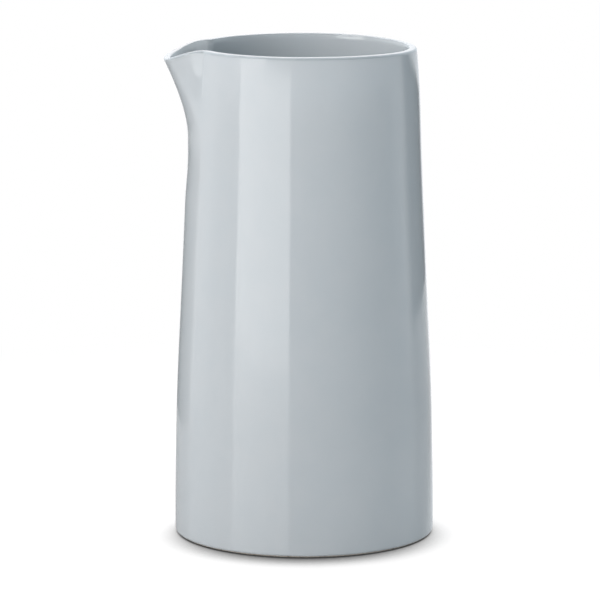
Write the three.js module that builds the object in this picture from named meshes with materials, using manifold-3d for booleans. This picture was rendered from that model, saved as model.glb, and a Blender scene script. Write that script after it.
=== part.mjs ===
// A milk jug without a handle, in millimetres, +Z up. The outer shell carries the rim and the spout.
// A liner hangs inside it by a collar, with air between the two walls. A disc closes the underside,
// and a soft plug closes the disc's vent hole. The origin is the centre of the disc's underside, and
// the spout points to -X.

import * as THREE from 'three';
import { mergeVertices } from 'three/addons/utils/BufferGeometryUtils.js';
import Module from 'manifold-3d';

const wasm = await Module();
wasm.setup();

// Driving sizes of the jug
const jugHeight = 145;
const footRadius = 38.4;
const rimRadius = 33.0;
const shellWall = 2.6;
const seatGap = 0.3; // between a piece and the curved wall that carries it

// Outer shell
const footLift = 0.45; // the glaze ends this far above the table
const footRounding = 1.8;
const lipOuterRounding = 1.2;
const lipInnerRounding = 0.8;
// Share of the way from the foot to the lip, and share of the flare that is left there
const flareShares = [
  [0, 1], [0.09, 0.985], [0.18, 0.945], [0.28, 0.885], [0.42, 0.72], [0.56, 0.54],
  [0.7, 0.37], [0.8, 0.265], [0.88, 0.195], [0.94, 0.115], [1, 0],
];

// Spout
const spoutReach = 8.6; // of its tip, past the round rim
const spoutHeight = 26; // from its root up to the rim
const spoutDroop = 3.5; // of its tip, below the rim
const spoutHalfAngle = THREE.MathUtils.degToRad(29);
const spoutRisePower = 1.75; // how late it leaves the wall
const spoutFanPower = 3; // how blunt its tip is
const spoutCornerPower = 1.2; // how softly its sides meet the round rim
const hollowDepth = 0.35; // of the faint hollow in the wall under the spout
const hollowHeight = 26;
const hollowRise = 5; // of the hollow's top, above the spout's root

// Inner liner
const linerWall = 2.4;
const linerDraft = 0.5; // how much narrower the bore is at the floor than under the collar
const linerCorner = 9; // inside radius between wall and floor
const linerFloor = 9.6; // height of the floor's upper face
const collarDepth = 38; // of its top edge, below the rim
const collarHeight = 9; // of the band that is luted to the shell
const collarStep = 0.78; // least step from the liner's wall out to the band
const collarEdge = 0.9; // thickness of its top edge
const collarLedge = 3; // height of the slope under the band
const funnelHeight = 11; // of the slope from the top edge to the bore

// Base disc and vent
const discThickness = 3.6;
const discChamfer = 0.8;
const ventOffset = 18; // from the jug's axis, away from the spout
const ventRadius = 3;
const recessRadius = 5.6;
const recessDepth = 1.2;
const cutOverrun = 1;

// Vent plug
const plugSetback = 0.3; // of its head, above the table
const plugStemRadius = ventRadius - seatGap;
const plugGrip = 0.5; // of its bulb, past the edge of the vent
const plugBulbHeight = 1.2;
const plugTipRadius = 2;

// Numbers of steps
const wallSteps = 8;
const riseSteps = 10;
const roundingSteps = 4;
const spoutSteps = 32;
const roundSteps = 46;
const latheSteps = 64;
const plugSteps = 24;

const footTop = footLift + footRounding;
const lipStart = jugHeight - lipOuterRounding;
const spoutRoot = jugHeight - spoutHeight;

const flareCurve = new THREE.CubicInterpolant(
  flareShares.map(([way]) => way),
  flareShares.map(([, flare]) => flare),
  1,
);

function outerRadius(z) {
  const way = THREE.MathUtils.clamp((z - footTop) / (lipStart - footTop), 0, 1);
  const [flare] = flareCurve.evaluate(way);
  return rimRadius + (footRadius - rimRadius) * flare;
}

// Depth of the hollow under the spout, at a height
function hollowAt(z) {
  const way = THREE.MathUtils.clamp((spoutRoot + hollowRise - z) / hollowHeight, 0, 1);
  return hollowDepth * Math.sin(Math.PI * way) ** 2;
}

// Radius of a round piece that seats inside the shell, at a height
function seatRadius(z) {
  return outerRadius(z) - hollowAt(z) - shellWall - seatGap;
}

// The points of a quarter turn between two directions, about a centre
function arcPoints(centre, radius, fromAngle, toAngle) {
  const arc = new THREE.EllipseCurve(
    centre.x, centre.y, radius, radius, fromAngle, toAngle, toAngle < fromAngle,
  );
  return arc.getPoints(roundingSteps);
}

// A point of the shell at a depth under its outer face, a height, and a turn from the spout
function shellPoint(depth, z, turn) {
  const across = Math.min(Math.abs(turn) / spoutHalfAngle, 1);
  const rise = THREE.MathUtils.clamp((z - spoutRoot) / spoutHeight, 0, 1);
  const body = 1 - across ** spoutFanPower;
  const fan = body ** spoutCornerPower;
  const reach = spoutReach * rise ** spoutRisePower - hollowAt(z);
  const radius = outerRadius(z) + reach * fan;
  const fanSlope = spoutFanPower * across ** (spoutFanPower - 1) * spoutCornerPower
    * body ** (spoutCornerPower - 1) / spoutHalfAngle;
  const slope = -Math.sign(turn) * reach * fanSlope;
  const length = Math.hypot(radius, slope);
  const inward = radius - depth * radius / length;
  const sideways = depth * slope / length;
  const angle = Math.PI + turn;
  const droop = spoutDroop * (1 - (1 - rise) ** 2) * fan ** 2;
  return new THREE.Vector3(
    inward * Math.cos(angle) - sideways * Math.sin(angle),
    inward * Math.sin(angle) + sideways * Math.cos(angle),
    z - droop,
  );
}

// Heights of the points between the shell's roundings, closer together beside the spout
function wallHeights() {
  const heights = [];
  for (let i = 1; i < wallSteps; i++) {
    heights.push(THREE.MathUtils.lerp(footTop, spoutRoot, i / wallSteps));
  }
  for (let i = 0; i < riseSteps; i++) {
    heights.push(THREE.MathUtils.lerp(spoutRoot, lipStart, i / riseSteps));
  }
  return heights;
}

// The shell's section as (depth under the outer face, height), once round and closed on itself
function shellSection() {
  const section = [];
  const corner = new THREE.Vector2(footRounding, footTop);
  const outerLip = new THREE.Vector2(lipOuterRounding, lipStart);
  const innerLip = new THREE.Vector2(shellWall - lipInnerRounding, jugHeight - lipInnerRounding);
  const heights = wallHeights();
  section.push(new THREE.Vector2(shellWall, footLift));
  section.push(...arcPoints(corner, footRounding, 1.5 * Math.PI, Math.PI));
  section.push(...heights.map((z) => new THREE.Vector2(0, z)));
  section.push(...arcPoints(outerLip, lipOuterRounding, Math.PI, 0.5 * Math.PI));
  section.push(...arcPoints(innerLip, lipInnerRounding, 0.5 * Math.PI, 0));
  section.push(...heights.reverse().map((z) => new THREE.Vector2(shellWall, z)));
  return section;
}

// Turns from the spout, close together across it and wider apart round the rest
function shellTurns() {
  const turns = [];
  for (let i = 0; i < spoutSteps; i++) {
    turns.push(THREE.MathUtils.lerp(-spoutHalfAngle, spoutHalfAngle, i / spoutSteps));
  }
  for (let i = 0; i < roundSteps; i++) {
    turns.push(THREE.MathUtils.lerp(spoutHalfAngle, 2 * Math.PI - spoutHalfAngle, i / roundSteps));
  }
  return turns.map((turn) => (turn > Math.PI ? turn - 2 * Math.PI : turn));
}

function shellGeometry() {
  const section = shellSection();
  const turns = shellTurns();
  const positions = [];
  const faces = [];
  for (const { x: depth, y: z } of section) {
    for (const turn of turns) {
      positions.push(...shellPoint(depth, z, turn).toArray());
    }
  }
  for (let i = 0; i < section.length; i++) {
    const row = i * turns.length;
    const nextRow = ((i + 1) % section.length) * turns.length;
    for (let j = 0; j < turns.length; j++) {
      const next = (j + 1) % turns.length;
      faces.push(row + j, row + next, nextRow + j);
      faces.push(row + next, nextRow + next, nextRow + j);
    }
  }
  const geometry = new THREE.BufferGeometry();
  geometry.setAttribute('position', new THREE.Float32BufferAttribute(positions, 3));
  geometry.setIndex(faces);
  geometry.computeVertexNormals();
  return geometry;
}

// Turns an outline of (radius, height) about the Z axis
function turned(outline, steps) {
  return new THREE.LatheGeometry(outline, steps).rotateX(Math.PI / 2);
}

function linerGeometry() {
  const collarTop = jugHeight - collarDepth;
  const collarBottom = collarTop - collarHeight;
  const boreTop = collarTop - funnelHeight;
  const narrowestSeat = Math.min(seatRadius(collarTop), seatRadius(linerFloor));
  const boreRadius = narrowestSeat - collarStep - linerWall;
  const floorRadius = boreRadius - linerDraft;
  const cornerCentre = new THREE.Vector2(floorRadius - linerCorner, linerFloor + linerCorner);
  const edgeRadius = seatRadius(collarTop) - collarEdge;
  const midFunnel = (collarTop + boreTop) / 2;
  const funnel = new THREE.CubicBezierCurve(
    new THREE.Vector2(edgeRadius, collarTop),
    new THREE.Vector2(edgeRadius, midFunnel),
    new THREE.Vector2(boreRadius, midFunnel),
    new THREE.Vector2(boreRadius, boreTop),
  );
  return turned([
    new THREE.Vector2(0, linerFloor - linerWall),
    ...arcPoints(cornerCentre, linerCorner + linerWall, -0.5 * Math.PI, 0),
    new THREE.Vector2(boreRadius + linerWall, collarBottom - collarLedge),
    new THREE.Vector2(seatRadius(collarBottom), collarBottom),
    new THREE.Vector2(seatRadius(collarTop), collarTop),
    ...funnel.getPoints(2 * roundingSteps),
    ...arcPoints(cornerCentre, linerCorner, 0, -0.5 * Math.PI),
    new THREE.Vector2(0, linerFloor),
  ], latheSteps);
}

function toManifold(geometry) {
  const bare = geometry.clone();
  bare.deleteAttribute('normal');
  bare.deleteAttribute('uv');
  const merged = mergeVertices(bare);
  return new wasm.Manifold(new wasm.Mesh({
    numProp: 3,
    vertProperties: new Float32Array(merged.attributes.position.array),
    triVerts: new Uint32Array(merged.index.array),
  }));
}

function fromManifold(solid) {
  const mesh = solid.getMesh();
  const geometry = new THREE.BufferGeometry();
  geometry.setAttribute('position', new THREE.Float32BufferAttribute(mesh.vertProperties, 3));
  geometry.setIndex([...mesh.triVerts]);
  geometry.computeVertexNormals();
  return geometry;
}

// A round cut along Z between two heights, at the vent
function ventCut(radius, fromZ, toZ) {
  const cut = new THREE.CylinderGeometry(radius, radius, toZ - fromZ, plugSteps).rotateX(Math.PI / 2);
  cut.translate(ventOffset, 0, (fromZ + toZ) / 2);
  return toManifold(cut);
}

function discGeometry() {
  const blank = toManifold(turned([
    new THREE.Vector2(0, 0),
    new THREE.Vector2(seatRadius(0) - discChamfer, 0),
    new THREE.Vector2(seatRadius(discChamfer), discChamfer),
    new THREE.Vector2(seatRadius(discThickness), discThickness),
    new THREE.Vector2(0, discThickness),
  ], latheSteps));
  const recess = ventCut(recessRadius, -cutOverrun, recessDepth);
  const hole = ventCut(ventRadius, 0, discThickness + cutOverrun);
  return fromManifold(blank.subtract(recess).subtract(hole));
}

function plugGeometry() {
  const bulbBottom = discThickness + seatGap;
  const bulbRadius = ventRadius + plugGrip;
  return turned([
    new THREE.Vector2(0, plugSetback),
    new THREE.Vector2(recessRadius - seatGap, plugSetback),
    new THREE.Vector2(recessRadius - seatGap, recessDepth),
    new THREE.Vector2(plugStemRadius, recessDepth),
    new THREE.Vector2(plugStemRadius, bulbBottom),
    new THREE.Vector2(bulbRadius, bulbBottom),
    new THREE.Vector2(plugTipRadius, bulbBottom + plugBulbHeight),
    new THREE.Vector2(0, bulbBottom + plugBulbHeight),
  ], plugSteps).translate(ventOffset, 0, 0);
}

const glaze = { color: 0xb4bfc6, roughness: 0.12, metalness: 0 };
const bareClay = { color: 0xd6d1c6, roughness: 0.85, metalness: 0 };
const silicone = { color: 0x8b9093, roughness: 0.6, metalness: 0 };

function piece(name, geometry, finish) {
  const mesh = new THREE.Mesh(geometry, new THREE.MeshStandardMaterial(finish));
  mesh.name = name;
  return mesh;
}

const group = new THREE.Group();
group.add(piece('outer_shell', shellGeometry(), glaze));
group.add(piece('inner_liner', linerGeometry(), glaze));
group.add(piece('base_disc', discGeometry(), bareClay));
group.add(piece('vent_plug', plugGeometry(), silicone));

export default group;
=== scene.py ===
from math import cos, pi, radians, sin, tan

import bpy
import numpy as np
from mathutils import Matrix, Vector


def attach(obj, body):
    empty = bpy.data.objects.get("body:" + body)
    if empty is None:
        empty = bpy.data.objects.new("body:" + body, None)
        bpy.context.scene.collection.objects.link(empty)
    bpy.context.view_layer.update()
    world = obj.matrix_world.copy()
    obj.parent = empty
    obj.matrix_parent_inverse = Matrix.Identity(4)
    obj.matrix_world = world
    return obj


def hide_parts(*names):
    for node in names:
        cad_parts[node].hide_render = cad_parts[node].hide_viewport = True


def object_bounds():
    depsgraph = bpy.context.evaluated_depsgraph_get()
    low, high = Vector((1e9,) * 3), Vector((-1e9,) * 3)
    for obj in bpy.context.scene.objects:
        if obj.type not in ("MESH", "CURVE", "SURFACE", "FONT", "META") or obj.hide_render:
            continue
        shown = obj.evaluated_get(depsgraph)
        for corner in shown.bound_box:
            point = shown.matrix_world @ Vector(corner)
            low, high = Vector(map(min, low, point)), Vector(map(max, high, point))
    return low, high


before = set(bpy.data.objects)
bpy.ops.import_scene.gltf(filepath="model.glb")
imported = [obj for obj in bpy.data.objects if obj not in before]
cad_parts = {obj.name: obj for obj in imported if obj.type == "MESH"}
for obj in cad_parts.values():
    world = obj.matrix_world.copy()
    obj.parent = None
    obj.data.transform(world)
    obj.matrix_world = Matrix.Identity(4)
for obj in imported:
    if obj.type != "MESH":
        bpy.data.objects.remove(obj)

# A milk jug without a handle: an outer shell with a rim and a spout, a liner hung inside it, a disc
# that closes the underside and a plug in the disc's vent. Metres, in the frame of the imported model:
# the origin is the centre of the disc's underside, and the spout points to -X.

cad_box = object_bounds()
mm = 0.001

# Outer shell
jug_height = cad_box[1].z
foot_radius = cad_box[1].y
rim_radius = 33.0 * mm
shell_wall = 2.6 * mm
seat_gap = 0.3 * mm  # between a piece and the curved wall that carries it
foot_lift = 0.1 * mm  # the glaze ends this far above the table
foot_rounding = 1.2 * mm
lip_outer_rounding = 0.9 * mm
lip_inner_rounding = 0.35 * mm
lip_ease_depth = 0.3 * mm  # how far the inner face leans out at the lip
lip_ease_height = 1.6 * mm
rim_fall = 0.65 * mm  # how far the rim falls away opposite the spout
rim_fall_power = 2.5
rim_fall_height = 12 * mm
# Share of the way from the foot to the lip, and share of the flare that is left there
flare_shares = [
    (0, 1), (0.09, 0.985), (0.18, 0.945), (0.28, 0.885), (0.42, 0.72), (0.56, 0.54),
    (0.7, 0.37), (0.8, 0.265), (0.88, 0.195), (0.94, 0.115), (1, 0),
]
glaze_skin = 0.1 * mm  # thickness of the glaze, which shows as a step above the bare foot
glaze_edge_turn = radians(55)  # where the glaze ends on the foot's rounding, from its underside
glaze_edge_wobble = radians(3.5)
glaze_edge_waves = [(1, 3, 0.4), (0.6, 7, 2), (0.4, 16, 1)]  # strength, count round the foot, phase
glaze_step_depth_share = 0.35  # the step's lower corner, as a share of the skin
glaze_step_turn_share = 0.25
lip_thinning_and_highlight = 0.2 * mm  # the glaze thins over this far below the lip, and the pale band there is also a painted highlight
foot_thinning_and_reflection = 0.8 * mm  # and this far above the table, where the pale band is also a painted reflection of the floor
shade_band_middle = 0.5 * mm  # painted shade: a darker band outside, centred this far below the lip
shade_band_reach = 0.55 * mm

# Spout
spout_reach = 8.45 * mm
spout_height = 26 * mm
spout_droop = 3.5 * mm
spout_half_angle = radians(29)
spout_rise_power = 1.75
spout_fan_power = 3
spout_corner_power = 1.2
hollow_depth = 0.35 * mm
hollow_height = 26 * mm
hollow_rise = 5 * mm

# Inner liner
liner_wall = 2.4 * mm
liner_draft = 0.5 * mm
liner_corner = 9 * mm
liner_floor = 9.6 * mm
collar_depth = 38 * mm
collar_height = 9 * mm
collar_step = 0.78 * mm
collar_edge = 0.9 * mm
collar_ledge = 3 * mm
collar_rounding = 0.4 * mm
joint_glaze_height = 1.3 * mm  # the glaze that pools over the gap between the collar and the shell
joint_glaze_spread_power = 0.6
joint_glaze_fall_power = 1.8
funnel_height = 11 * mm

# Base disc, vent and plug
disc_thickness = 3.6 * mm
disc_chamfer = 0.8 * mm
vent_offset = 18 * mm
vent_radius = 3 * mm
recess_radius = 5.6 * mm
recess_depth = 1.2 * mm
plug_setback = 0.3 * mm
plug_grip = 0.5 * mm
plug_bulb_height = 1.2 * mm
plug_tip_radius = 2 * mm
plug_edge_rounding = 0.35 * mm
plug_tip_start = radians(25)  # where the tip's rounding leaves the bulb's slope
plug_dimple_radius = 2.4 * mm
plug_dimple_depth = 0.35 * mm
vent_rounding = 0.25 * mm
trimming_depth = 0.05 * mm  # faint rings on the underside, from trimming on the wheel
trimming_pitch = 2.3 * mm
slip_low = 0.85 * mm  # the slip that closes the joint between the disc and the shell
slip_high = 1.7 * mm
slip_hollow = 0.12 * mm
overlap = 0.04 * mm  # how far a filling reaches into the walls that it joins

# Steps of the meshes: round a piece, and along its section
spout_steps = 120
shell_steps = 280
wall_steps = 90
rounding_steps = 10
round_steps = 180
funnel_steps = 32
disc_steps = 160
disc_spread_steps = 70
plug_steps = 72

foot_top = foot_lift + foot_rounding
lip_start = jug_height - lip_outer_rounding
spout_root = jug_height - spout_height
collar_top = jug_height - collar_depth

# Colours, as linear red, green and blue
glaze_deep = (0.446, 0.503, 0.533)
glaze_light = (0.456, 0.51, 0.538)
# Pale glaze where it thins over the edges. It is also a painted highlight at the lip and a painted
# reflection of the floor at the foot.
glaze_thin_and_sheen = (0.68, 0.7, 0.705)
# Darker glaze for the painted shade just under the lip, outside
glaze_under_lip_shade = (0.37, 0.425, 0.455)
clay_dark = (0.56, 0.53, 0.46)
clay_light = (0.68, 0.65, 0.58)
clay_speck = (0.3, 0.26, 0.2)
silicone_dark = (0.24, 0.255, 0.265)
silicone_light = (0.29, 0.305, 0.315)

# Finishes: how wide their clouds, waves and grains are, and how high their relief is
glaze_cloud_size = 9 * mm
glaze_shine_size = 14 * mm
glaze_wave_size = 7 * mm
glaze_wave_height = 0.02 * mm
glaze_ripple_size = 0.9 * mm
glaze_ripple_height = 0.0006 * mm
clay_grain_size = 0.35 * mm
clay_grain_height = 0.03 * mm
clay_speck_size = 0.8 * mm
clay_patch_size = 2 * mm
silicone_cloud_size = 1.5 * mm
silicone_patch_size = 0.6 * mm
silicone_grain_size = 0.12 * mm
silicone_grain_height = 0.004 * mm
glaze_roughness = (0.07, 0.1)  # where the noise is low, and where it is high
clay_roughness = (0.78, 0.92)
silicone_roughness = (0.45, 0.6)
soft_patches = (0.3, 0.7)  # levels of the noise between which a patch comes in
fine_grains = (0.35, 0.65)
rare_specks = (0.68, 0.74)
sharp_corner = radians(40)  # corners sharper than this aren't shaded smooth

# Colours of the lights, and the white surround
key_colour = (1.08, 0.985, 0.95)
low_colour = (0.99, 1.0, 1.02)
fill_colour = (1.0, 1.0, 1.0)
surround_colour = (0.95, 1.0, 1.06)
front_light = 0.34  # what the surround adds from the front and from behind
back_light = 0.55
back_blend = 0.3  # how far towards either of them the two are blended, as the Y of a direction
dark_rise = 0.12  # the mirrored surround in front turns dark over this Z of a direction

# Floor
floor_reach = 5.0
floor_grey = 0.4
floor_roughness = 0.12
floor_white = 0.17  # what lamps light, and what glows by itself: these two are for the camera alone
floor_fill = 0.86
mirrored_floor = 0.25  # what the floor near the jug and to the right of it adds in the glaze
floor_behind = 0.3  # and what the floor far behind it adds
floor_near = 0.12  # the near floor turns into the far one between these distances from the middle
floor_far = 0.3
contact_reach = 17 * mm  # how far off the jug still darkens the floor under it
contact_tilt = radians(50)  # elevation of the part of the sky that the jug hides, at the back
contact_closed = 0.2  # shares of open sky at which the shadow is full, and gone
contact_open = 0.82
contact_dark = 0.06

# Camera, in the place that the photograph was taken from
camera_distance = 1.206
camera_height = 0.2836
camera_pitch = radians(10.08)
camera_yaw = radians(0.058)
camera_lens = 248.7
camera_sensor = 36
camera_clip = (0.01, 100)

# Soft boxes. Azimuth 0 is the camera's side of the jug, and it grows towards +X. Edges are heights
# above the table, and levels are brightnesses.
box_distance = 0.6
key_azimuth = radians(-39)
key_half_width = radians(26)
key_break = 0.15  # the key is dim below this height
key_top = 0.55
key_low_level = 0.9
key_high_level = 4.2
left_azimuth = radians(-100)
left_half_width = radians(20)
left_top = 0.45
left_level = 1.6
back_azimuth = radians(180)
back_half_width = radians(25)
back_bottom = 0.16
back_top = 0.4
back_level = 4.5
right_azimuth = radians(55)
right_half_width = radians(35)
right_bottom = 0.06
right_top = 0.19
right_level = 3.4
high_box_distance = 0.8
high_box_elevation = radians(45)
high_left_azimuth = radians(-80)
high_left_side = 0.45
high_left_level = 1.6
back_high_side = 0.8
back_high_level = 2.5

# Cards that only the glaze mirrors. A column is an azimuth in degrees, the card's low and high edge
# there, and its brightness.
key_card = [(-65, 0, 0.15, 3.1), (-13, 0, 0.15, 3.1)]
key_card_distance = 0.66
rim_card = [(-74, 0.16, 0.45, 0), (-70, 0.16, 0.45, 5), (-40, 0.16, 0.45, 5), (-36, 0.16, 0.45, 0)]
rim_card_distance = 0.68
right_card = [
    (108, 0, 0.16, 1), (119, 0, 0.16, 0), (131, 0, 0.112, 0),
    (146, 0, 0.092, 0.05), (155, 0, 0.078, 0.1), (162, 0, 0.07, 1),
]
right_card_distance = 0.5
left_card = [(-162, 0, 0.089, 1), (-154, 0, 0.089, 0.1), (-120, 0, 0.089, 0.1), (-112, 0, 0.089, 1)]
left_card_distance = 0.2
card_soft_edge = 0.01  # above its high edge a card turns white over this height
left_card_soft_edge = 0.014


def smooth_curve(points):
    """A natural cubic curve through points of rising x, as a function of x."""
    x = np.array([p[0] for p in points], float)
    y = np.array([p[1] for p in points], float)
    step = np.diff(x)
    matrix = np.eye(len(x))
    side = np.zeros(len(x))
    for i in range(1, len(x) - 1):
        matrix[i, i - 1 : i + 2] = step[i - 1], 2 * (step[i - 1] + step[i]), step[i]
        side[i] = 6 * ((y[i + 1] - y[i]) / step[i] - (y[i] - y[i - 1]) / step[i - 1])
    bend = np.linalg.solve(matrix, side)

    def value(at):
        at = np.clip(at, x[0], x[-1])
        i = np.clip(np.searchsorted(x, at, side="right") - 1, 0, len(x) - 2)
        left, right, width = at - x[i], x[i + 1] - at, step[i]
        return (
            (bend[i] * right**3 + bend[i + 1] * left**3) / (6 * width)
            + (y[i] / width - bend[i] * width / 6) * right
            + (y[i + 1] / width - bend[i + 1] * width / 6) * left
        )

    return value


flare = smooth_curve(flare_shares)


def outer_radius(z):
    return rim_radius + (foot_radius - rim_radius) * flare((z - foot_top) / (lip_start - foot_top))


def hollow_at(z):
    """Depth of the faint hollow in the wall under the spout, at a height."""
    way = np.clip((spout_root + hollow_rise - z) / hollow_height, 0, 1)
    return hollow_depth * np.sin(pi * way) ** 2


def seat_radius(z):
    """Radius of a round piece that seats inside the shell, at a height."""
    return outer_radius(z) - hollow_at(z) - shell_wall - seat_gap


def arc(centre, radius, start, end, steps):
    """Points (across, height) of an arc between two directions, about a centre."""
    turns = np.linspace(start, end, steps + 1)
    return [(centre[0] + radius * cos(t), centre[1] + radius * sin(t)) for t in turns]


def bezier(start, leave, arrive, end, steps):
    way = np.linspace(0, 1, steps + 1)[:, None]
    back = 1 - way
    weights = np.concatenate([back**3, 3 * way * back**2, 3 * way**2 * back, way**3], axis=1)
    return [tuple(point) for point in weights @ np.array([start, leave, arrive, end])]


def mesh_object(name, points, faces, materials):
    mesh = bpy.data.meshes.new(name)
    mesh.from_pydata(np.asarray(points).tolist(), [], faces)
    for material in materials:
        mesh.materials.append(material)
    mesh.shade_smooth()
    mesh.update()
    piece = bpy.data.objects.new(name, mesh)
    bpy.context.collection.objects.link(piece)
    return piece


def ring_mesh(name, rings, materials, closed, bare=None):
    """Joins rings of points, an array of (ring, step, xyz), into one skin.

    The last ring joins the first one, or both end rings close on their middles. The bare rings, and
    the strips that start at them, take the second material.
    """
    count, steps = rings.shape[:2]
    ring, step = np.meshgrid(np.arange(count if closed else count - 1), np.arange(steps), indexing="ij")
    row, next_row, next_step = ring * steps, (ring + 1) % count * steps, (step + 1) % steps
    corners = [row + step, row + next_step, next_row + next_step, next_row + step]
    faces = np.stack(corners, axis=-1).reshape(-1, 4).tolist()
    bare = np.zeros(count, int) if bare is None else np.asarray(bare, int)
    finish = np.repeat(bare if closed else bare[:-1], steps)
    points = rings.reshape(-1, 3)
    if not closed:
        first, last, end_row = count * steps, count * steps + 1, (count - 1) * steps
        points = np.concatenate([points, rings[[0, -1]].mean(axis=1)])
        faces += [(first, (i + 1) % steps, i) for i in range(steps)]
        faces += [(last, end_row + i, end_row + (i + 1) % steps) for i in range(steps)]
        finish = np.concatenate([finish, np.repeat(bare[[0, -1]], steps)])
    piece = mesh_object(name, points, faces, materials)
    piece.data.polygons.foreach_set("material_index", finish)
    piece.data.set_sharp_from_angle(angle=sharp_corner)
    return piece


def round_rings(outline, steps):
    """Rings about the Z axis from an outline of (radius, height), or of (radius, height, centre's X)."""
    turns = np.linspace(0, 2 * pi, steps, endpoint=False)
    return np.array(
        [
            [(radius * cos(turn) + sum(centre), radius * sin(turn), height) for turn in turns]
            for radius, height, *centre in outline
        ]
    )


def shell_points(depth, z, turn):
    """Points of the shell at depths under its outer face, heights, and turns from the spout."""
    across = np.minimum(np.abs(turn) / spout_half_angle, 1)
    rise = np.clip((z - spout_root) / spout_height, 0, 1)
    body = 1 - across**spout_fan_power
    fan = body**spout_corner_power
    reach = spout_reach * rise**spout_rise_power - hollow_at(z)
    radius = outer_radius(z) + reach * fan
    fan_slope = spout_fan_power * across ** (spout_fan_power - 1) * spout_corner_power
    fan_slope = fan_slope * body ** (spout_corner_power - 1) / spout_half_angle
    slope = -np.sign(turn) * reach * fan_slope
    length = np.hypot(radius, slope)
    inward = radius - depth * radius / length
    sideways = depth * slope / length
    angle = pi + turn
    droop = spout_droop * (1 - (1 - rise) ** 2) * fan**2
    x = inward * np.cos(angle) - sideways * np.sin(angle)
    y = inward * np.sin(angle) + sideways * np.cos(angle)
    fall_share = np.clip(1 - (jug_height - z) / rim_fall_height, 0, 1) ** 2
    fall = rim_fall * fall_share * np.clip(x / rim_radius, 0, 1) ** rim_fall_power
    return np.stack([x, y, z - droop - fall], axis=-1)


def shell_turns():
    """Turns from the spout, close together across it and wider apart round the rest."""
    spout_turns = np.linspace(-spout_half_angle, spout_half_angle, spout_steps, endpoint=False)
    round_turns = np.linspace(spout_half_angle, 2 * pi - spout_half_angle, shell_steps, endpoint=False)
    turn = np.concatenate([spout_turns, round_turns])
    return np.where(turn > pi, turn - 2 * pi, turn)


def foot_section(turn):
    """The foot's rounding as (depth, height) rings. Its bare clay ends at the glaze's uneven edge."""
    wobble = sum(strength * np.sin(count * turn + phase) for strength, count, phase in glaze_edge_waves)
    edge = 1.5 * pi - glaze_edge_turn + glaze_edge_wobble * wobble / 2
    roll = glaze_skin / foot_rounding
    bare_radius = foot_rounding - glaze_skin
    bare = [(bare_radius, 1.5 * pi + way * (edge - 1.5 * pi)) for way in np.linspace(0, 1, 8)]
    step = [
        (foot_rounding - glaze_step_depth_share * glaze_skin, edge - glaze_step_turn_share * roll),
        (foot_rounding, edge - roll),
    ]
    glazed = [(foot_rounding, edge - roll + way * (pi - edge + roll)) for way in np.linspace(0, 1, 10)[1:]]
    rings = []
    for radius, angle in [*bare, *step, *glazed]:
        depth = foot_rounding + radius * np.cos(angle)
        rings.append((depth, foot_top + radius * np.sin(angle) + 0 * turn))
    return rings, len(bare)


def shell_section(turn):
    """Depth under the outer face and height of each ring, once round the wall, and which rings are bare."""
    outer_lip = (lip_outer_rounding, lip_start)
    inner_lip = (shell_wall - lip_ease_depth - lip_inner_rounding, jug_height - lip_inner_rounding)
    outer = np.linspace(foot_top, lip_start, wall_steps + 1)[1:-1]
    ease_start = inner_lip[1] - lip_ease_height
    eased = np.linspace(inner_lip[1], ease_start, rounding_steps, endpoint=False)
    inner = np.concatenate([eased, np.linspace(ease_start, foot_lift + glaze_skin, wall_steps + 1)])
    ease = np.clip(1 - (inner_lip[1] - inner) / lip_ease_height, 0, 1) ** 2
    foot, bare_count = foot_section(turn)
    round_body = [
        *((0, z) for z in outer),
        *arc(outer_lip, lip_outer_rounding, pi, 0.5 * pi, rounding_steps),
        *arc(inner_lip, lip_inner_rounding, 0.5 * pi, 0, rounding_steps)[:-1],
        *zip(shell_wall - lip_ease_depth * ease, inner),
    ]
    rings = [*foot, *((depth + 0 * turn, z + 0 * turn) for depth, z in round_body)]
    depth, z = np.moveaxis(np.array(rings), 1, 0)
    inside = (depth[:, 0] >= shell_wall) & (z[:, 0] < collar_top)
    return depth, z, inside | (np.arange(len(rings)) < bare_count)


def make_shell(glaze, bare_clay):
    turn = shell_turns()
    depth, z, bare = shell_section(turn)
    points = shell_points(depth, z, turn[None, :])
    shell = ring_mesh("outer_shell_glazed", points, [glaze, bare_clay], closed=True, bare=bare)
    below_lip = jug_height - z
    # Pale band at the lip and the foot. It is partly the glaze thinning, and partly a painted highlight at
    # the lip and a painted reflection of the floor at the foot.
    thinned_and_highlit = np.clip(1 - np.minimum(below_lip / lip_thinning_and_highlight, z / foot_thinning_and_reflection), 0, 1) ** 2
    # Dark band just under the lip, outside: painted shade
    lip_shaded = np.clip(1 - np.abs(below_lip - shade_band_middle) / shade_band_reach, 0, 1) * (depth < shell_wall / 2)
    for name, share in (("glaze_thinning_and_sheen", thinned_and_highlit), ("painted_lip_shade", lip_shaded)):
        shell.data.attributes.new(name, "FLOAT", "POINT").data.foreach_set("value", share.ravel())
    return shell


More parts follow.
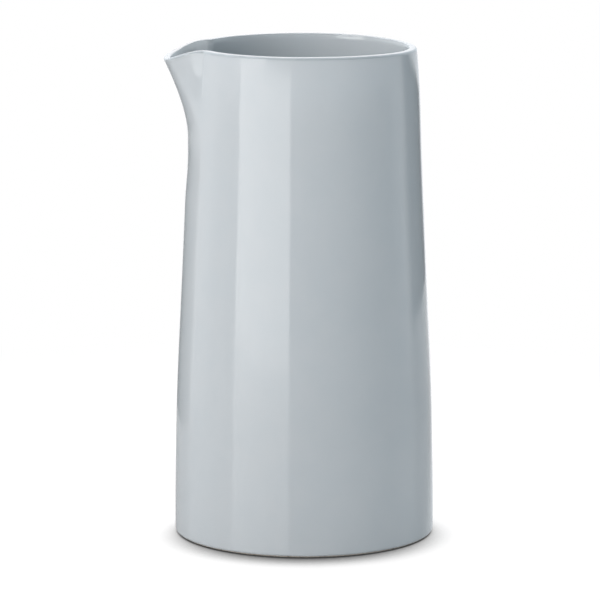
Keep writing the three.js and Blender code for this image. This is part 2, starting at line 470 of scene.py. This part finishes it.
def make_liner(glaze, bare_clay):
    """The liner: a round-cornered cup that widens through a funnel into its collar."""
    collar_bottom = collar_top - collar_height
    bore_top = collar_top - funnel_height
    bore_radius = min(seat_radius(collar_top), seat_radius(liner_floor)) - collar_step - liner_wall
    floor_radius = bore_radius - liner_draft
    corner = (floor_radius - liner_corner, liner_floor + liner_corner)
    edge_radius = seat_radius(collar_top) - collar_edge
    edge = (edge_radius + collar_rounding, collar_top - collar_rounding)
    middle = (collar_top + bore_top) / 2
    funnel_top, funnel_end = (edge_radius, edge[1]), (bore_radius, bore_top)
    funnel = bezier(funnel_top, (edge_radius, middle), (bore_radius, middle), funnel_end, funnel_steps)
    outside = [
        *arc(corner, liner_corner + liner_wall, -0.5 * pi, 0, 24),
        (bore_radius + liner_wall, collar_bottom - collar_ledge),
        (seat_radius(collar_bottom), collar_bottom),
        (seat_radius(collar_top), collar_top - collar_rounding),
    ]
    inside = [
        (seat_radius(collar_top) - collar_rounding, collar_top),
        *arc(edge, collar_rounding, 0.5 * pi, pi, 6),
        *funnel[1:],
        *arc(corner, liner_corner, 0, -0.5 * pi, 24),
    ]
    rings = round_rings([*outside, *inside], round_steps)
    bare = np.arange(len(rings)) < len(outside)
    return ring_mesh("inner_liner_glazed", rings, [glaze, bare_clay], closed=False, bare=bare)


def make_joint_glaze(glaze):
    """A coving of glaze over the collar's top edge, which runs up on to the shell's inner wall."""
    turn = shell_turns()
    wall = shell_points(shell_wall - overlap, collar_top + 0 * turn, turn)
    wall_radius = np.hypot(wall[:, 0], wall[:, 1])
    collar_radius = seat_radius(collar_top) - collar_edge + collar_rounding
    rings = []
    for way in np.linspace(0, 1, 9):
        radius = wall_radius + way**joint_glaze_spread_power * (collar_radius - wall_radius)
        rise = joint_glaze_height * (1 - way) ** joint_glaze_fall_power
        rings.append((radius, collar_top + rise + overlap))
    for radius in (collar_radius + 0 * turn, wall_radius):
        rings.append((radius, collar_top - overlap))
    across, along = np.cos(pi + turn), np.sin(pi + turn)
    points = [np.stack([radius * across, radius * along, z + 0 * turn], -1) for radius, z in rings[::-1]]
    return ring_mesh("collar_joint_glaze", np.array(points), [glaze], closed=True)


def make_disc(bare_clay):
    """The disc, with its rings closing in from its own centre to the vent's."""
    edge = seat_radius(0) - disc_chamfer
    mouth = recess_radius + vent_rounding
    hole = vent_radius + vent_rounding
    top = disc_thickness - vent_rounding
    low_edge = arc((edge, disc_chamfer), disc_chamfer, 0, -0.5 * pi, 8)
    spread = np.linspace(0, 1, disc_spread_steps)[1:-1]
    under = [(edge + way * (mouth - edge), 0, way * vent_offset) for way in spread]
    over = [(hole + way * (edge - hole), disc_thickness, (1 - way) * vent_offset) for way in spread]
    vent = [
        *arc((mouth, vent_rounding), vent_rounding, -0.5 * pi, -pi, 4),
        *arc((recess_radius - vent_rounding, recess_depth - vent_rounding), vent_rounding, 0, 0.5 * pi, 4),
        *arc((hole, recess_depth + vent_rounding), vent_rounding, -0.5 * pi, -pi, 4),
        *arc((hole, top), vent_rounding, pi, 0.5 * pi, 4),
    ]
    high_edge = arc((edge, disc_thickness - disc_chamfer), disc_chamfer, 0.5 * pi, 0, 8)
    outline = [*low_edge, *under, *((radius, z, vent_offset) for radius, z in vent), *over, *high_edge]
    rings = round_rings(outline, disc_steps)[::-1]
    reach = np.hypot(rings[..., 0], rings[..., 1])
    groove = trimming_depth * np.sin(pi * reach / trimming_pitch) ** 4
    fade = np.clip((edge - reach) / trimming_pitch, 0, 1)
    rings[..., 2] += np.where(rings[..., 2] < overlap, groove * fade, 0)
    return ring_mesh("base_disc_trimmed", rings, [bare_clay], closed=True)


def make_disc_joint(bare_clay):
    """The fired slip between the disc and the shell, with its lower face drawn in."""
    middle = (slip_low + slip_high) / 2
    inner = seat_radius(middle) - overlap
    outer = seat_radius(middle) + seat_gap + overlap
    rings = []
    for way in np.linspace(0, 1, 7):
        rings.append((outer + way * (inner - outer), slip_low + slip_hollow * sin(pi * way)))
    rings += [(inner, slip_high), (outer, slip_high)]
    skin = round_rings(rings[::-1], round_steps)
    return ring_mesh("base_disc_slip_joint", skin, [bare_clay], closed=True)


def make_plug(silicone):
    """The plug: a dimpled head in the disc's recess, a stem through the hole and a bulb above it."""
    head = recess_radius - seat_gap
    stem = vent_radius - seat_gap
    bulb = vent_radius + plug_grip
    bulb_low = disc_thickness + seat_gap
    bulb_high = bulb_low + plug_bulb_height
    rounding = plug_edge_rounding
    dimple = [
        (plug_dimple_radius * way, plug_setback + plug_dimple_depth * cos(pi * way / 2) ** 2)
        for way in np.linspace(0, 1, 10)[1:]
    ]
    outline = [
        *dimple,
        *arc((head - rounding, plug_setback + rounding), rounding, -0.5 * pi, 0, 6),
        (head, recess_depth),
        (stem, recess_depth),
        (stem, bulb_low),
        *arc((bulb - rounding, bulb_low + rounding), rounding, -0.5 * pi, 0, 6),
        *arc((plug_tip_radius - rounding, bulb_high - rounding), rounding, plug_tip_start, 0.5 * pi, 5),
        (plug_tip_radius - 2 * rounding, bulb_high),
    ]
    rings = round_rings([(radius, z, vent_offset) for radius, z in outline], plug_steps)
    return ring_mesh("vent_plug_moulded", rings, [silicone], closed=False)


def place(piece, slot, *nodes):
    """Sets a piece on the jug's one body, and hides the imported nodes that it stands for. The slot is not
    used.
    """
    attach(piece, "root")
    if nodes:
        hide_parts(*nodes)


def new_material(name, roughness):
    material = bpy.data.materials.new(name)
    material.use_nodes = True
    shader = material.node_tree.nodes["Principled BSDF"]
    shader.inputs["Roughness"].default_value = roughness
    return material, material.node_tree, shader


def link(tree, source, target):
    """Sets a socket from another node's output, or to a plain number or colour."""
    if isinstance(source, bpy.types.NodeSocket):
        tree.links.new(source, target)
    elif isinstance(source, tuple):
        target.default_value = (*source, 1)
    else:
        target.default_value = source


def noise(tree, size, detail=2.0):
    """Cloudy noise from 0 to 1, whose patches are about as wide as the size."""
    place_on_piece = tree.nodes.new("ShaderNodeTexCoord")
    clouds = tree.nodes.new("ShaderNodeTexNoise")
    clouds.inputs["Scale"].default_value = 1 / size
    clouds.inputs["Detail"].default_value = detail
    tree.links.new(place_on_piece.outputs["Object"], clouds.inputs["Vector"])
    return clouds.outputs["Fac"]


def mapped(tree, value, low, high, to_low=0.0, to_high=1.0):
    """A value brought smoothly from one range to another."""
    ramp = tree.nodes.new("ShaderNodeMapRange")
    ramp.interpolation_type = "SMOOTHSTEP"
    for name, number in (("From Min", low), ("From Max", high), ("To Min", to_low), ("To Max", to_high)):
        ramp.inputs[name].default_value = number
    link(tree, value, ramp.inputs["Value"])
    return ramp.outputs["Result"]


def mixed(tree, share, first, second):
    mix = tree.nodes.new("ShaderNodeMix")
    mix.data_type = "RGBA"
    factor, first_colour, second_colour = (mix.inputs[i] for i in (0, 6, 7))
    link(tree, share, factor)
    link(tree, first, first_colour)
    link(tree, second, second_colour)
    return mix.outputs[2]


def bumped(tree, height, distance, below=None):
    """A normal raised by a height from 0 to 1 that stands for the distance."""
    bump = tree.nodes.new("ShaderNodeBump")
    bump.inputs["Distance"].default_value = distance
    link(tree, height, bump.inputs["Height"])
    if below is not None:
        link(tree, below, bump.inputs["Normal"])
    return bump.outputs["Normal"]


def attribute(tree, name):
    reader = tree.nodes.new("ShaderNodeAttribute")
    reader.attribute_name = name
    return reader.outputs["Fac"]


def make_glaze():
    """Glossy light blue-grey glaze, with faint clouds: paler at the lip and foot, where it thins and where
    a highlight and the floor's reflection are painted, and darker with painted shade under the lip.
    """
    material, tree, shader = new_material("fired_glaze", 0.08)
    clouds = mapped(tree, noise(tree, glaze_cloud_size), *soft_patches)
    clouded = mixed(tree, clouds, glaze_deep, glaze_light)
    # Darker glaze for the painted shade under the lip, then the pale glaze, which is partly a painted
    # highlight and a painted reflection of the floor
    lip_shaded = mixed(tree, mapped(tree, attribute(tree, "painted_lip_shade"), 0.0, 1.0), clouded, glaze_under_lip_shade)
    thinned_and_highlit = mapped(tree, attribute(tree, "glaze_thinning_and_sheen"), 0.0, 1.0)
    link(tree, mixed(tree, thinned_and_highlit, lip_shaded, glaze_thin_and_sheen), shader.inputs["Base Color"])
    shine = mapped(tree, noise(tree, glaze_shine_size), *soft_patches, *glaze_roughness)
    link(tree, shine, shader.inputs["Roughness"])
    waves = bumped(tree, noise(tree, glaze_wave_size, 1.0), glaze_wave_height)
    ripples = bumped(tree, noise(tree, glaze_ripple_size, 1.0), glaze_ripple_height, waves)
    link(tree, ripples, shader.inputs["Normal"])
    return material


def make_bare_clay():
    """Fired stoneware without glaze: dry, fine-grained, with a few darker grains."""
    material, tree, shader = new_material("fired_clay", 0.85)
    grain = mapped(tree, noise(tree, clay_grain_size, 3.0), *fine_grains)
    clay = mixed(tree, grain, clay_dark, clay_light)
    speck = mapped(tree, noise(tree, clay_speck_size, 0.0), *rare_specks)
    link(tree, mixed(tree, speck, clay, clay_speck), shader.inputs["Base Color"])
    patches = mapped(tree, noise(tree, clay_patch_size), *soft_patches, *clay_roughness)
    link(tree, patches, shader.inputs["Roughness"])
    link(tree, bumped(tree, grain, clay_grain_height), shader.inputs["Normal"])
    return material


def make_silicone():
    """Matt grey silicone, with a faint moulded texture."""
    material, tree, shader = new_material("moulded_silicone", 0.5)
    cloud = mapped(tree, noise(tree, silicone_cloud_size), *soft_patches)
    link(tree, mixed(tree, cloud, silicone_dark, silicone_light), shader.inputs["Base Color"])
    patches = mapped(tree, noise(tree, silicone_patch_size), *soft_patches, *silicone_roughness)
    link(tree, patches, shader.inputs["Roughness"])
    grain = noise(tree, silicone_grain_size)
    link(tree, bumped(tree, grain, silicone_grain_height), shader.inputs["Normal"])
    return material


def direction(azimuth, elevation=0.0):
    """Azimuth 0 is the camera's side of the jug, and it grows towards +X."""
    return Vector((sin(azimuth) * cos(elevation), -cos(azimuth) * cos(elevation), sin(elevation)))


def make_camera():
    camera = bpy.data.objects.new("camera", bpy.data.cameras.new("camera"))
    bpy.context.collection.objects.link(camera)
    camera.location = (0, -camera_distance, camera_height)
    camera.rotation_euler = (pi / 2 - camera_pitch, 0, camera_yaw)
    camera.data.sensor_width = camera_sensor
    camera.data.lens = camera_lens
    camera.data.clip_start, camera.data.clip_end = camera_clip
    bpy.context.scene.camera = camera


def make_soft_box(name, centre, away, width, height, radiance, colour):
    """A soft box that shines back along the direction in which it stands. The glaze doesn't mirror it."""
    light = bpy.data.lights.new(name, "AREA")
    light.shape = "RECTANGLE"
    light.size = width
    light.size_y = height
    light.color = colour
    light.energy = radiance * pi * width * height
    lamp = bpy.data.objects.new(name, light)
    bpy.context.collection.objects.link(lamp)
    lamp.location = centre
    lamp.rotation_euler = away.to_track_quat("Z", "Y").to_euler()
    lamp.visible_camera = False
    lamp.visible_glossy = False


def make_upright_box(name, azimuth, half_width, low, high, radiance, colour):
    """A soft box that stands upright beside the jug, between two heights."""
    away = direction(azimuth)
    centre = box_distance * away + Vector((0, 0, (low + high) / 2))
    width = 2 * box_distance * tan(half_width)
    make_soft_box(name, centre, away, width, high - low, radiance, colour)


def make_high_box(name, azimuth, side, radiance, colour):
    """A square soft box that is aimed at the jug's mouth."""
    away = direction(azimuth, high_box_elevation)
    centre = high_box_distance * away + Vector((0, 0, jug_height))
    make_soft_box(name, centre, away, side, side, radiance, colour)


def make_card(name, columns, distance, soft_edge):
    """A card of the studio that only the glaze mirrors. Columns are (azimuth, low, high, brightness)."""
    points, levels = [], []
    for azimuth, low, high, brightness in columns:
        for height, level in ((low, brightness), (high, brightness), (high + soft_edge, 1)):
            points.append(distance * direction(radians(azimuth)) + Vector((0, 0, height)))
            levels.append(level)
    faces = []
    for column in range(0, len(points) - 3, 3):
        for i in (column, column + 1):
            faces.append((i, i + 3, i + 4, i + 1))
    material = bpy.data.materials.new(name)
    material.use_nodes = True
    tree = material.node_tree
    emission = tree.nodes.new("ShaderNodeEmission")
    tree.links.new(attribute(tree, "brightness"), emission.inputs["Strength"])
    tree.links.new(emission.outputs[0], tree.nodes["Material Output"].inputs["Surface"])
    card = mesh_object(name, points, faces, [material])
    card.data.attributes.new("brightness", "FLOAT", "POINT").data.foreach_set("value", levels)
    card.visible_camera = False
    card.visible_diffuse = False
    card.visible_shadow = False


def seen_by(tree, rays):
    """A value that is 1 for the named kinds of ray, and 0 for the others."""
    path = tree.nodes.new("ShaderNodeLightPath")
    value = path.outputs[rays[0]]
    for ray in rays[1:]:
        either = tree.nodes.new("ShaderNodeMath")
        either.operation = "MAXIMUM"
        tree.links.new(value, either.inputs[0])
        tree.links.new(path.outputs[ray], either.inputs[1])
        value = either.outputs[0]
    return value


def mixed_value(tree, share, first, second):
    mix = tree.nodes.new("ShaderNodeMix")
    factor, first_value, second_value = (mix.inputs[i] for i in (0, 2, 3))
    link(tree, share, factor)
    link(tree, first, first_value)
    link(tree, second, second_value)
    return mix.outputs[0]


def make_world():
    """A white surround. It lights the jug less than it shows, and least of all from the front.

    High in front the studio is dark, and only the glaze shows that.
    """
    world = bpy.data.worlds.new("studio")
    bpy.context.scene.world = world
    world.use_nodes = True
    tree = world.node_tree
    background = tree.nodes["Background"]
    background.inputs["Color"].default_value = (*surround_colour, 1)
    place_in_sky = tree.nodes.new("ShaderNodeTexCoord")
    axes = tree.nodes.new("ShaderNodeSeparateXYZ")
    tree.links.new(place_in_sky.outputs["Generated"], axes.inputs[0])
    behind = mapped(tree, axes.outputs["Y"], -back_blend, back_blend)
    high = mapped(tree, axes.outputs["Z"], 0.0, dark_rise)
    light = mixed_value(tree, behind, front_light, back_light)
    mirrored = mixed_value(tree, high, 1.0, behind)
    unlit = mixed_value(tree, seen_by(tree, ["Is Glossy Ray"]), light, mirrored)
    strength = mixed_value(tree, seen_by(tree, ["Is Camera Ray", "Is Transmission Ray"]), unlit, 1.0)
    tree.links.new(strength, background.inputs["Strength"])


def mixed_shader(tree, share, first, second):
    mix = tree.nodes.new("ShaderNodeMixShader")
    for source, target in zip((share, first, second), mix.inputs):
        link(tree, source, target)
    return mix.outputs[0]


def added_shader(tree, first, second):
    both = tree.nodes.new("ShaderNodeAddShader")
    tree.links.new(first, both.inputs[0])
    tree.links.new(second, both.inputs[1])
    return both.outputs[0]


def emission(tree, strength):
    glow = tree.nodes.new("ShaderNodeEmission")
    link(tree, strength, glow.inputs["Strength"])
    return glow.outputs[0]


def grey(level):
    return (level, level, level)


def contact_shadow(tree):
    """Brightness of the floor as the jug hides more or less of what is above and behind a point."""
    occlusion = tree.nodes.new("ShaderNodeAmbientOcclusion")
    occlusion.inputs["Distance"].default_value = contact_reach
    away = tree.nodes.new("ShaderNodeCombineXYZ")
    away.inputs["Y"].default_value = cos(contact_tilt)
    away.inputs["Z"].default_value = sin(contact_tilt)
    tree.links.new(away.outputs[0], occlusion.inputs["Normal"])
    return mapped(tree, occlusion.outputs["AO"], contact_closed, contact_open, contact_dark)


def make_floor():
    """A satin white table top. To the camera it is white, up to the jug's own shadow."""
    material, tree, satin = new_material("floor", floor_roughness)
    link(tree, grey(floor_grey), satin.inputs["Base Color"])
    place_on_floor = tree.nodes.new("ShaderNodeTexCoord").outputs["Object"]
    shadow = contact_shadow(tree)
    lit = tree.nodes.new("ShaderNodeBsdfDiffuse")
    link(tree, mixed(tree, shadow, grey(0.0), grey(floor_white)), lit.inputs["Color"])
    fill = tree.nodes.new("ShaderNodeEmission")
    link(tree, mixed(tree, shadow, grey(0.0), grey(floor_fill)), fill.inputs["Color"])
    near = added_shader(tree, lit.outputs[0], fill.outputs[0])
    white = tree.nodes.new("ShaderNodeEmission")
    distance = tree.nodes.new("ShaderNodeVectorMath")
    distance.operation = "LENGTH"
    tree.links.new(place_on_floor, distance.inputs[0])
    far = mapped(tree, distance.outputs["Value"], floor_near, floor_far)
    shown = mixed_shader(tree, far, near, white.outputs[0])
    axes = tree.nodes.new("ShaderNodeSeparateXYZ")
    tree.links.new(place_on_floor, axes.inputs[0])
    right = mapped(tree, axes.outputs["X"], -foot_radius, foot_radius, 0.0, mirrored_floor)
    behind = mapped(tree, axes.outputs["Y"], 0.0, floor_far, 0.0, floor_behind)
    glow = emission(tree, mixed_value(tree, far, right, behind))
    mirrored = added_shader(tree, satin.outputs[0], glow)
    unseen = mixed_shader(tree, seen_by(tree, ["Is Glossy Ray"]), satin.outputs[0], mirrored)
    surface = mixed_shader(tree, seen_by(tree, ["Is Camera Ray", "Is Transmission Ray"]), unseen, shown)
    tree.links.new(surface, tree.nodes["Material Output"].inputs["Surface"])
    corners = [(x * floor_reach, y * floor_reach, 0) for x, y in ((-1, -1), (1, -1), (1, 1), (-1, 1))]
    floor = mesh_object("floor", corners, [(0, 1, 2, 3)], [material])


bpy.context.scene.view_settings.view_transform = "Standard"
make_camera()

glaze = make_glaze()
bare_clay = make_bare_clay()
silicone = make_silicone()
place(make_shell(glaze, bare_clay), "glaze", "outer_shell")
place(make_liner(glaze, bare_clay), "glaze", "inner_liner")
place(make_joint_glaze(glaze), "glaze")
place(make_disc(bare_clay), "bare_clay", "base_disc")
place(make_disc_joint(bare_clay), "bare_clay")
place(make_plug(silicone), "silicone", "vent_plug")

make_world()
make_floor()
make_upright_box("key_low", key_azimuth, key_half_width, 0, key_break, key_low_level, low_colour)
make_upright_box("key_high", key_azimuth, key_half_width, key_break, key_top, key_high_level, key_colour)
make_upright_box("left_high", left_azimuth, left_half_width, key_break, left_top, left_level, key_colour)
make_high_box("high_left", high_left_azimuth, high_left_side, high_left_level, key_colour)
make_high_box("back_high", back_azimuth, back_high_side, back_high_level, fill_colour)
make_upright_box("back_low", back_azimuth, back_half_width, back_bottom, back_top, back_level, fill_colour)
make_upright_box(
    "right_low", right_azimuth, right_half_width, right_bottom, right_top, right_level, low_colour
)
make_card("key_card", key_card, key_card_distance, card_soft_edge)
make_card("rim_card", rim_card, rim_card_distance, card_soft_edge)
make_card("right_card", right_card, right_card_distance, card_soft_edge)
make_card("left_card", left_card, left_card_distance, left_card_soft_edge)
